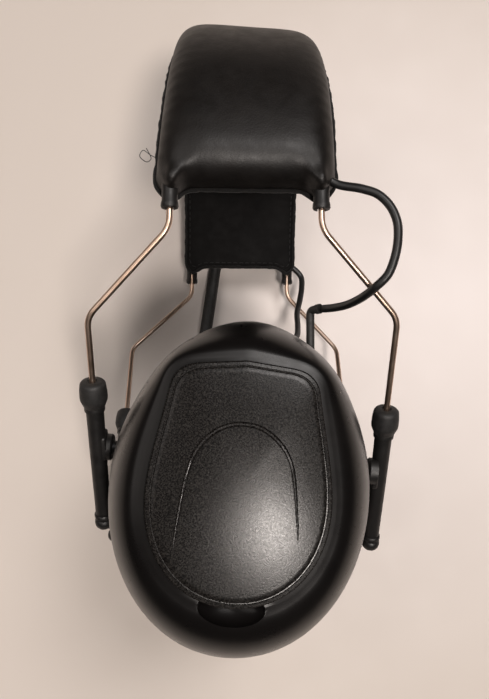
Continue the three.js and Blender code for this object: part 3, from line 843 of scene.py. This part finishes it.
def make_slider(side, place, start):
    """One slider: its tube with the pivot pin, the rubber grip round its mouth, and its ridged cap."""
    end = ENDS[place]
    at = slider_frame(side, end)
    body = f"{side}_sliders"
    stem = f"{side}_{place}_slider"

    def turned(profile):
        """A lathed piece whose profile points are (radius, distance down from the slider's start)."""
        return lathe([(radius, -start - distance) for radius, distance in profile])

    full, rim, bore, tip = TUBE_RADIUS, COLLAR_RADIUS, 1.25, TUBE_RADIUS - 0.25
    body_shape = turned([
        (bore, TUBE_END), (tip, TUBE_END), (tip, TUBE_END - 2), (full - 0.1, 30), (full, 10.5),
        (full + 0.45, 10.2), (full + 0.5, 9.4), (full + 0.4, 8.8), (full, 8.6), (full, 2.6), (bore, 2.5),
    ])
    to_frame = at.inverted() @ CUP_FRAME[side]
    outer, inner = (to_frame @ Vector((end * PIVOT[stop], 0, 0)) for stop in ("boss", "pin"))
    web_size = (2, 8.6, abs(outer.z) + 4.4)
    web = rounded_box(web_size, (end * -1.9, -start - COLLAR_TO_PIVOT, outer.z / 2), 0.7)
    boss = tapered_rod([outer, outer.lerp(inner, 0.25), outer.lerp(inner, 0.31)], PIVOT["boss_radius"], 40)
    pin = tapered_rod([outer, inner.lerp(outer, 0.06), inner], PIVOT["pin_radius"], 32)
    piece = make_mesh(f"{stem}_body", body_shape, at)
    for part in (web, boss, pin):
        carve(piece, part, at, "UNION")
    carve(piece, rod((0, -start - TUBE_END - 1, 0), (0, -start - 1, 0), bore), at)
    paint(piece, "matte_black")
    hand_over(piece, body, [f"{stem}_tube"])

    grip = turned([
        (bore, 0.3), (bore + 0.4, -0.1), (rim - 1.6, 0), (rim - 0.7, 0.35), (rim - 0.35, 0.8),
        (rim - 0.2, 1.5), (rim, 3.4), (rim + 0.05, 5.6), (rim - 0.05, 6.4), (rim - 0.25, 6.9),
        (rim - 0.8, 8.3), (rim - 1.05, 8.8), (rim - 1.25, 9), (full + 0.05, 9), (full + 0.05, 2.2),
        (bore, 2.2),
    ])
    add_piece(f"{stem}_grip", grip, at, body, "black_rubber", [f"{stem}_collar"], 40)

    cap = turned([
        (0, TUBE_END - 0.3), (tip + 0.15, TUBE_END - 0.3), (tip + 0.4, TUBE_END),
        (tip + 0.45, TUBE_END + 0.7), (tip + 0.1, TUBE_END + 1.1), (tip + 0.05, TUBE_END + 1.9),
        (tip + 0.4, TUBE_END + 2.3), (tip + 0.5, TUBE_END + 3.4), (tip + 0.3, CAP_END - 1.2),
        (tip - 0.3, CAP_END - 0.4), (tip - 1.2, CAP_END), (0, CAP_END),
    ])
    add_piece(f"{stem}_end_cap", cap, at, body, "matte_black", [f"{stem}_cap"], 40)


# -------- cups
OUTLINE_POINTS = 160


def bezier(a, b, c, d, steps=24):
    """A cubic Bezier curve of 2-D points, without its last point."""
    a, b, c, d = (Vector(p) for p in (a, b, c, d))
    points = []
    for i in range(steps):
        t = i / steps
        points.append((1 - t) ** 3 * a + 3 * t * (1 - t) ** 2 * b + 3 * t * t * (1 - t) * c + t**3 * d)
    return points


def even_loop(corners):
    """The closed outline of a front half, mirrored to the rear, as evenly spaced points."""
    mirrored = [Vector((-p.x, p.y)) for p in reversed(corners[1:-1])]
    loop = corners + mirrored + corners[:1]
    path = [Vector((p.x, p.y, 0)) for p in loop]
    total = length_of(path)
    return resampled(path, total / OUTLINE_POINTS)[:OUTLINE_POINTS]


def egg_outline():
    """The cup seen from the side: an egg with its narrow end up."""
    top, widest, bottom, half = CUP["top"], CUP["widest"], CUP["bottom"], CUP["half_width"]
    up, down = top - widest, widest - bottom
    side = (-half, widest)
    front = bezier((0, top), (-0.5 * half, top), (-half, widest + 0.5 * up), side)
    front += bezier(side, (-half, widest - 0.57 * down), (-0.56 * half, bottom), (0, bottom))
    return even_loop(front + [Vector((0, bottom))])


def lid_outline():
    """The lid: a nearly straight top with round corners, sides that widen, and a round bottom."""
    top, bottom, half = LID["top"], LID["bottom"], LID["half_width"]
    start, corner = Vector((-12.5, top - 1.3)), Vector((-19.4, top - 2.1))
    shoulder, middle = Vector((-20.2, top - 8.6)), (-half, -8)
    front = [Vector((0, top))]
    front += bezier(start, start.lerp(corner, 2 / 3), shoulder.lerp(corner, 2 / 3), shoulder, 12)
    front += bezier(shoulder, (-22.3, 9), (-half, 0), middle)
    front += bezier(middle, (-half, -24), (-14.6, bottom), (0, bottom))
    return [askew(p) for p in even_loop(front + [Vector((0, bottom))])]


def askew(point):
    """A point of the lid, turned and moved as the lid sits on its cup."""
    c, s = math.cos(LID_TURN), math.sin(LID_TURN)
    return Vector((point[0] * c - point[1] * s + LID_SHIFT, point[0] * s + point[1] * c, 0))


def grown(outline, margin):
    """An outline grown about its middle by a margin."""
    high, low = max(p.y for p in outline), min(p.y for p in outline)
    middle = (high + low) / 2
    grow_x = 1 + margin / max(p.x for p in outline)
    grow_y = 1 + margin / (high - middle)
    return [Vector((p.x * grow_x, middle + (p.y - middle) * grow_y, 0)) for p in outline]


def ring_between(outer, inner, t, w):
    """The outline at share t of the way from outer to inner, at height w."""
    return [Vector((a.x + (b.x - a.x) * t, a.y + (b.y - a.y) * t, w)) for a, b in zip(outer, inner)]


EGG = egg_outline()
LID_OUTLINE = lid_outline()
EAR_HOLE = [
    Vector((-CUSHION["hole"][0] * math.sin(turn), EAR_CENTRE_Y + CUSHION["hole"][1] * math.cos(turn), 0))
    for turn in turns(OUTLINE_POINTS)
]


def dome(inset=0, past=0):
    """The domed body between the egg outline and the lid's seat, with its surface moved in.

    The outside has a raised lip round its rim. The inside starts a little past the rim instead.
    """
    steps = 26
    wide, narrow = grown(EGG, -inset), grown(LID_OUTLINE, 1.6 - inset)
    power = 2 / SHELL["roundness"]
    low, high = SHELL["rim"], SHELL["seat"] - inset
    if inset:
        first_step = 0
        rings = [ring_between(wide, narrow, 0, low - past)]
    else:
        first_step = 3
        lip = [(-0.2, 0), (0.35, 0.25), (0.35, 1.3), (0, 1.6)]
        rings = [ring_between(grown(EGG, margin), narrow, 0, low + rise) for margin, rise in lip]
    for i in range(first_step, steps + 1):
        turn = i / steps * math.pi / 2
        rise = math.sin(turn) ** power
        t = 1 - max(math.cos(turn), 0) ** power
        rings.append(ring_between(wide, narrow, t, low + (high - low) * rise))
    if not inset:
        rings.append(ring_between(wide, grown(LID_OUTLINE, 1.2), 1, high + 0.12))
    return loft(rings)


NOTCH_AT = (-0.5, LID["bottom"] - 0.5, SHELL["seat"] + 0.6)
NOTCH_RADII = (9, 5, 5)
ELBOWS = {  # each lead's way into its cup
    "left": [(20.75, 50.6, 8.1), (18, 50.2, 4.6), (19.6, 33, 4)],
    "right": [(24.5, 50.5, 9.2), (20.5, 49.8, 5.4), (20.5, 33, 4.6)],
}


def make_shell(side):
    """The cup's moulded body: a hollow dome, with a finger notch and a battery bay on the left."""
    at = CUP_FRAME[side]
    piece = make_mesh(f"{side}_cup_body", dome(), at)
    inside = make_mesh("inside", dome(SHELL["wall"], 3), at)
    if side == "left":
        carve(inside, ellipsoid(NOTCH_AT, [r + 2 for r in NOTCH_RADII]), at)
        carve(piece, ellipsoid(NOTCH_AT, NOTCH_RADII), at)
    room = [v.co / MM for v in inside.data.vertices], [tuple(f.vertices) for f in inside.data.polygons]
    bpy.data.objects.remove(inside)
    carve(piece, room, Matrix())
    if side == "left":
        depth = 30
        bay = (2 * (TRAY["half_width"] + CLEARANCE), 2 * (TRAY["half_height"] + CLEARANCE), depth)
        middle = (0, CELL["y"], TRAY["floor"] - CLEARANCE + depth / 2)
        carve(piece, rounded_box(bay, middle, 0.8), at)
    carve(piece, rod((-50, 0, 0), (50, 0, 0), PIVOT["pin_radius"] + CLEARANCE), at)
    carve(piece, rod(ELBOWS[side][1], ELBOWS[side][2], CABLE_RADIUS + CLEARANCE, 24), at)
    paint(piece, "gloss_black", 28)
    hand_over(piece, f"{side}_cup", [f"{side}_cup_shell"])


LID_LIP = 1.25  # width of the smooth lip round the grained face
GROOVE = [
    (-16.2, -21.5), (-15.9, -17), (-15.3, -11), (-14.6, -5.5), (-13.7, -0.5), (-12.4, 3.6), (-10.1, 7.3),
    (-6.9, 10.2), (-3, 11.9), (0.6, 12.2), (4.2, 11.6), (8, 9.5), (11.2, 6.2), (13.2, 2.4), (14.2, -2),
    (14.9, -7), (15.5, -12), (16.1, -17.5),
]


def lid_height(share, face):
    """Height of the slightly crowned face, at that share of the way from its edge to its middle."""
    return face - 1.2 * (1 - share) ** 2


def lid_shape():
    """A thin plate: a smooth lip round its edge, a narrow groove, and the crowned face inside it."""
    face = LID["face"]
    depth = face - LID["under"]
    edge = [  # how far out from the outline, and how far down from the face
        (-0.75, depth), (-0.1, depth - 0.65), (0, depth - 0.8), (0, 2.2), (-0.12, 1.8), (-0.4, 1.55),
        (-LID_LIP + 0.1, 1.45), (-LID_LIP, 1.53), (-LID_LIP - 0.04, 1.8), (-LID_LIP - 0.34, 1.8),
        (-LID_LIP - 0.36, 1.4), (-LID_LIP - 0.5, 1.25),
    ]
    rings = [ring_between(grown(LID_OUTLINE, margin), EAR_HOLE, 0, face - down) for margin, down in edge]
    border = grown(LID_OUTLINE, -LID_LIP - 0.6)
    centre = Vector((0, (LID["top"] + LID["bottom"]) / 2, 0))
    steps = 24
    for i in range(steps):
        share = i / steps
        rings.append([p.lerp(centre, share) + Vector((0, 0, lid_height(share, face))) for p in border])
    return loft(rings)


def groove_shape():
    """A tapering channel in the shape of an arch, thick at its top and fading down its legs."""
    half_width, half_height, middle = 22, 30, -2.5  # of the grained face
    path = resampled(smooth_curve([askew(p) for p in GROOVE], 8), 0.8)
    lifted = []
    for p in path:
        share = 1 - max(abs(p.x) / half_width, abs(p.y - middle) / half_height)
        lifted.append(Vector((p.x, p.y, lid_height(share, LID["face"]))))
    return tube(lifted, lambda t: 0.15 + 0.55 * math.sin(math.pi * min(1, max(0, t))) ** 0.6, 12)


def make_lid(name, side, body, replaced):
    """The battery lid, or the other cup's cover: the same plate, without the hinge's channel."""
    at = CUP_FRAME[side]
    piece = make_mesh(name, lid_shape(), at)
    carve(piece, groove_shape(), at)
    if side == "left":
        reach, y, w = LID_HINGE["half_length"], LID_HINGE["y"], LID_HINGE["w"]
        carve(piece, rod((-reach, y, w), (reach, y, w), LID_HINGE["channel"]), at)
    paint(piece, "grained_black", 30)
    hand_over(piece, body, [replaced])


def make_ear_cushion(side):
    """A soft ring: crowned towards the ear, with a welded seam outside and small creases inside."""
    outer, hole = grown(EGG, -1), EAR_HOLE
    middle = (CUSHION["face"] + CUSHION["back"]) / 2
    half = (CUSHION["back"] - CUSHION["face"]) / 2
    rings = []
    for k, turn in enumerate(turns(48)):
        c, s = math.cos(turn), math.sin(turn)
        t = 0.5 - 0.5 * math.copysign(abs(c) ** 0.7, c)
        w = middle + half * math.copysign(abs(s) ** 0.72, s)
        ring = ring_between(outer, hole, t, w)
        for i, p in enumerate(ring):
            away = Vector((p.x, p.y - EAR_CENTRE_Y, 0)).normalized()
            inner_crease = max(0, t - 0.72) * 1.8 * math.sin(i * 0.82 + 2.5 * wander(i, k, 9, 4))
            outer_crease = max(0, 0.16 - t) * 1.6 * math.sin(i * 0.95 + 2 * wander(i, k, 7, 8))
            seam = 0.55 * math.exp(-((w - CUSHION["back"] + 3.2) / 0.55) ** 2) * (t < 0.3)
            swell = 0.25 * wander(p.x, p.y, 16, w / 9) if s < 0 else 0
            p += away * (inner_crease + outer_crease * 0.6 - seam)
            p.z += swell
        rings.append(ring)
    piece = make_mesh(f"{side}_ear_pad", loft(rings, True), CUP_FRAME[side])
    paint(piece, "leatherette", 80)
    hand_over(piece, f"{side}_cup", [f"{side}_ear_cushion"])


def make_cushion_plate(side):
    """The ring that holds the ear cushion in the cup's mouth."""
    outer, hole = grown(EGG, -0.4), grown(EAR_HOLE, 1)
    back, front = PLATE["back"], PLATE["front"]
    profile = [(0.012, front), (0, front - 0.3), (0, back + 0.3), (0.012, back), (1, back), (1, front)]
    plate = loft([ring_between(outer, hole, t, w) for t, w in profile], True)
    replaced = [f"{side}_cushion_plate"]
    add_piece(f"{side}_ear_pad_plate", plate, CUP_FRAME[side], f"{side}_cup", "matte_black", replaced)


def make_foam_disc(side):
    """The foam over the speaker, with rounded edges and shallow dimples on its face."""
    back, face = FOAM_DISC["back"], FOAM_DISC["face"]
    levels = [(0.97, back, 0), (1, back - 0.4, 0), (1, face + 0.5, 0), (0.97, face, 0)]
    steps = 24
    levels += [(0.97 * (1 - i / steps), face, 0.35) for i in range(1, steps)]
    grow_x, grow_y = (half / hole for half, hole in zip(FOAM_DISC["half"], CUSHION["hole"]))
    rings = []
    for share, w, depth in levels:
        ring = []
        for p in EAR_HOLE:
            x, y = p.x * share * grow_x, (p.y - EAR_CENTRE_Y) * share * grow_y
            dimple = depth * math.cos(x * 1.05) * math.cos(y * 1.05) * min(1, 4 * (1 - share))
            ring.append(Vector((x, EAR_CENTRE_Y + y, w - dimple)))
        rings.append(ring)
    replaced = [f"{side}_foam_liner"]
    add_piece(f"{side}_foam_disc", loft(rings), CUP_FRAME[side], f"{side}_cup", "foam", replaced, 60)


def make_cord_elbow(side):
    """The right-angle strain relief by which the lead enters the cup."""
    path = bent_line(ELBOWS[side], 1.6, 8)
    radius = CABLE_RADIUS + 0.05
    elbow = joined(
        tube(resampled(path, 0.5), radius, 24),
        tube([path[0], path[0].lerp(path[1], 0.55)], radius + 0.25, 24),
    )
    replaced = [f"{side}_cord_elbow"]
    add_piece(f"{side}_cable_elbow", elbow, CUP_FRAME[side], f"{side}_cup", "black_rubber", replaced, 50)


def cone_spring(at, radius, length, coils, along):
    """The centre line of a small coil spring that narrows towards the cell."""
    steps = coils * 14
    path = []
    for i in range(steps + 1):
        turn = 2 * math.pi * coils * i / steps
        r = radius * (1 - 0.45 * i / steps)
        offset = Vector((r * math.cos(turn), along * length * i / steps, r * math.sin(turn)))
        path.append(Vector(at) + offset)
    return path


def make_battery_bay():
    """Two sleeved cells, head to tail, and the spring behind each one's flat end."""
    at = CUP_FRAME["left"]
    half, r = CELL["length"] / 2, CELL["radius"]
    profile = [
        (0, -half), (r - 1.4, -half), (r - 1.3, -half + 0.15), (r - 0.5, -half + 0.1),
        (r - 0.1, -half + 0.4), (r, -half + 0.9), (r, half - 2.2), (r - 0.15, half - 1.6),
        (r - 0.6, half - 1.25), (2.9, half - 1.2), (2.7, half - 1.0), (2.7, half - 0.3),
        (2.4, half), (0, half),
    ]
    for name, sign in (("front_battery_cell", -1), ("rear_battery_cell", 1)):
        place = at @ Matrix.Translation((sign * CELL["x"], CELL["y"], CELL["w"]))
        if sign > 0:
            place = place @ Matrix.Rotation(math.pi, 4, "Z")
        add_piece(f"{name}_sleeved", lathe(profile), place, "left_cup", "battery_jacket", [name], 30)
    springs = []
    for end in (-1, 1):
        seat = (end * CELL["x"], CELL["y"] + end * (half + 0.35), CELL["w"])
        springs.append(tube(cone_spring(seat, 2.9, 0.9, 3, -end), 0.25, 8))
    add_piece("battery_contact_springs", joined(*springs), at, "left_cup", "bright_steel")


ANTENNA_FOOT = Vector((-17.2, 33.5, 42.8))
ANTENNA_AIM = Vector((0.14, 1, 0.2)).normalized()
ANTENNA_ROUTE = [  # in the half frame
    (-15, -0.5, 74.5), (-13.3, 11, 74.85), (-11.2, 25.5, 74.85), (-9.2, 40, 74.85), (-7.2, 54, 74.85),
]
RIB = {"depth": 0.28, "pitch": 2.4, "reach": 13}


def turned_to(direction):
    """The rotation that brings the Y axis to a direction."""
    return Vector((0, 1, 0)).rotation_difference(direction).to_matrix().to_4x4()


def make_antenna():
    """A rubber whip with a ribbed foot and a round tip, in a turned socket."""
    at = CUP_FRAME["right"]
    to_cup = cup_in_half("right").inverted()
    route = [ANTENNA_FOOT + ANTENNA_AIM * 8.4, *(to_cup @ Vector(p) for p in ANTENNA_ROUTE)]
    step = 0.7
    path = resampled(smooth_curve(route, 10), step)
    length = len(path) * step

    def thickness(t):
        rounding = math.sqrt(max(0.0, 1 - (1 - min(1, (1 - t) * length / 2.6)) ** 2))
        from_foot = t * length
        rib = RIB["depth"] * math.cos(2 * math.pi * from_foot / RIB["pitch"])
        rib *= from_foot < RIB["reach"]
        return max(0.3, (ANTENNA_RADIUS - RIB["depth"] + rib) * rounding)

    add_piece("antenna_whip", tube(path, thickness, 32), at, "right_cup", "black_rubber", ["antenna"], 60)
    profile = [
        (0, -2.5), (3.9, -2.5), (4, 0.6), (3.95, 4.6), (3.7, 4.9), (3.7, 5.5), (3.95, 5.8), (3.9, 7.4),
        (3.5, 8), (0, 8),
    ]
    place = at @ Matrix.Translation(ANTENNA_FOOT) @ turned_to(ANTENNA_AIM)
    add_piece("antenna_socket", lathe(profile), place, "right_cup", "matte_black", ["antenna_base"])


def make_knobs():
    """Two fluted knobs on short shoulders: each profile point says how deep its flutes are."""
    r = KNOB["radius"]
    profile = [
        (1.5, -5, 0), (1.5, -1.9, 0), (3, -1.7, 0), (3.6, 0.9, 0), (r - 0.7, 1, 0), (r - 0.3, 1.3, 0.3),
        (r - 0.2, 1.8, 1), (r - 0.35, 5.2, 1), (r - 0.6, 5.9, 0.5), (r - 1.1, 6.4, 0), (r - 2.2, 6.6, 0),
        (r - 2.5, 6.35, 0), (0.4, 6.35, 0),
    ]
    sides, flutes, flute_depth = 144, 24, 0.22
    rings = []
    for radius, height, share in profile:
        ring = []
        for turn in turns(sides):
            fluted = radius + flute_depth * share * math.cos(flutes * turn)
            ring.append((fluted * math.cos(turn), height, fluted * math.sin(turn)))
        rings.append(ring)
    for name, sign in (("volume", -1), ("tuning", 1)):
        seat = Matrix.Translation((sign * KNOB["x"], KNOB["y"], KNOB["w"]))
        place = CUP_FRAME["right"] @ seat @ turned_to(Vector((sign * 0.33, -0.94, 0)).normalized())
        add_piece(f"{name}_dial", loft(rings), place, name, "black_rubber", [f"{name}_knob"])


def repaint_kept_nodes():
    """CAD nodes whose shape is right keep it and get a full material."""
    clips = [f"{side}_{place}_pivot_clip" for side in SIDES for place in ENDS]
    plain = [f"{side}_{part}" for side in SIDES for part in ("speaker", "wire_spacer")]
    finishes = {
        "bright_steel": [*clips, "lid_hinge_pin"],
        "matte_black": ["battery_tray", *plain],
        "circuit_board": ["circuit_board"],
    }
    for finish, names in finishes.items():
        for name in names:
            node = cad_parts[name]
            node.data.materials.clear()
            node.data.materials.append(MATERIALS[finish])


# -------- studio
def add_area_light(name, at, target, size, power, colour):
    data = bpy.data.lights.new(name, "AREA")
    data.shape = "DISK"
    data.size = size
    data.energy = power
    data.color = colour
    light = bpy.data.objects.new(name, data)
    light.location = at
    light.rotation_mode = "QUATERNION"
    light.rotation_quaternion = (Vector(target) - Vector(at)).to_track_quat("-Z", "Y")
    bpy.context.scene.collection.objects.link(light)


FLOOR_HALF_SIZE = 1500
FLOOR_DROP = 0.15  # keeps the floor just clear of the cup


def make_studio():
    """A pale desk under a small light, a broad one beyond the crown and a weak fill."""
    reach = FLOOR_HALF_SIZE
    corners = [(-reach, -reach, 0), (reach, -reach, 0), (reach, reach, 0), (-reach, reach, 0)]
    floor = make_mesh("floor", (corners, [(0, 1, 2, 3)]), Matrix.Translation((0, 0, -FLOOR_DROP)))
    paint(floor, "pale_floor_painted_light")
    add_area_light("ceiling", (0.145, -0.27, 1.08), (0, 0, 0.1), 0.15, 7, (1.0, 0.92, 0.86))
    add_area_light("window", (0.6, 0.85, 2.3), (0, 0, 0.05), 0.9, 32, (1.0, 0.95, 0.92))
    add_area_light("bounce", (-1.1, 0.3, 1.6), (-0.1, 0, 0.05), 1.4, 8, (1.0, 0.93, 0.88))
    world = bpy.data.worlds.new("studio")
    world.use_nodes = True
    set_sockets(world.node_tree.nodes["Background"], Color=(1.0, 0.9, 0.82, 1), Strength=0.03)
    bpy.context.scene.world = world
    bpy.context.scene.view_settings.view_transform = "Standard"


# -------- the whole object
make_camera()
make_cables()
make_band_cover()
make_binding()
make_stitches()
make_loose_thread()
make_wires()
for side in SIDES:
    for place, start in zip(ENDS, SLIDER_START[side]):
        make_slider(side, place, start)
    make_shell(side)
    make_ear_cushion(side)
    make_cushion_plate(side)
    make_foam_disc(side)
    make_cord_elbow(side)
make_lid("battery_door", "left", "lid", "battery_lid")
make_lid("outer_cover", "right", "right_cup", "right_outer_cover")
make_battery_bay()
make_antenna()
make_knobs()
repaint_kept_nodes()
make_studio()
